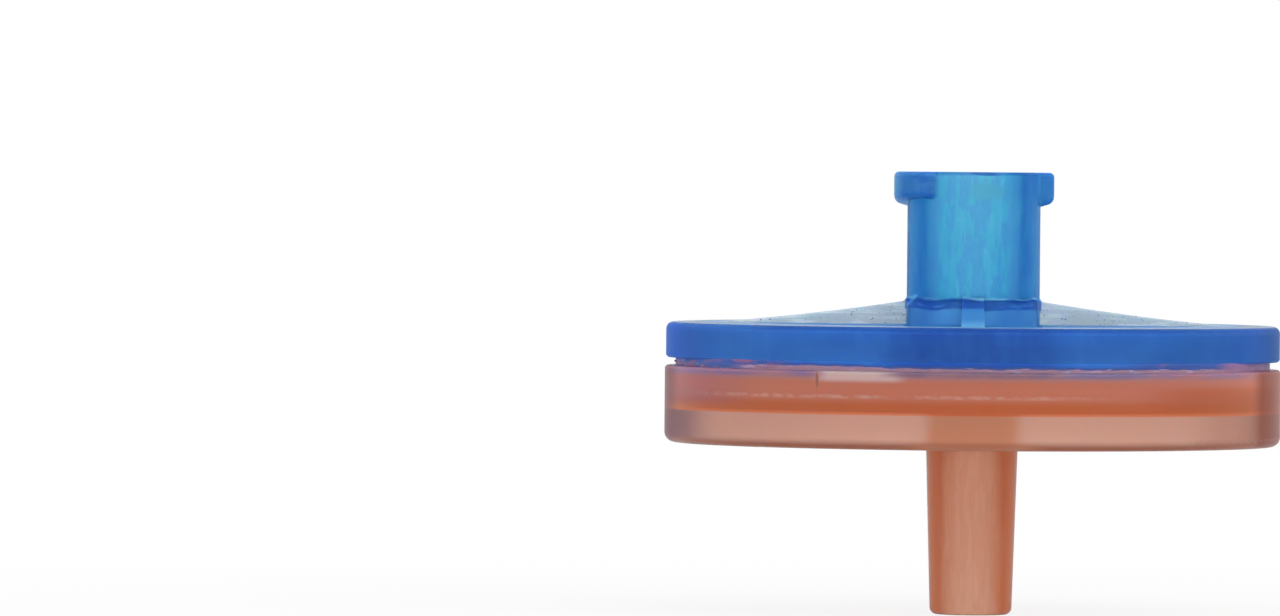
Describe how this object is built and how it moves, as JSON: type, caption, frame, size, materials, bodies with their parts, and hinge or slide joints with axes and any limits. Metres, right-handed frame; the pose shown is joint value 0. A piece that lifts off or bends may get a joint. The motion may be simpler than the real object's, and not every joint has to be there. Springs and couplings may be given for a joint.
{
  "type": "syringe filter",
  "caption": "Disc syringe filter with a female lock inlet on top, a clamped membrane inside and a male slip outlet below.",
  "frame": {"origin": "middle of the outlet nozzle's tip face, the lowest point of the part", "axes": "+Z along the flow axis towards the inlet hub; +X and +Y along the fins"},
  "size_m": [0.03, 0.03, 0.0215],
  "materials": {
    "inlet_housing": "translucent blue polypropylene, moulded, satin gloss",
    "membrane": "matte white microporous membrane",
    "outlet_housing": "translucent orange polypropylene, moulded, satin gloss"
  },
  "bodies": {
    "root": {"inlet_housing": "inlet_housing", "membrane": "membrane", "outlet_housing": "outlet_housing"}
  },
  "joints": []
}
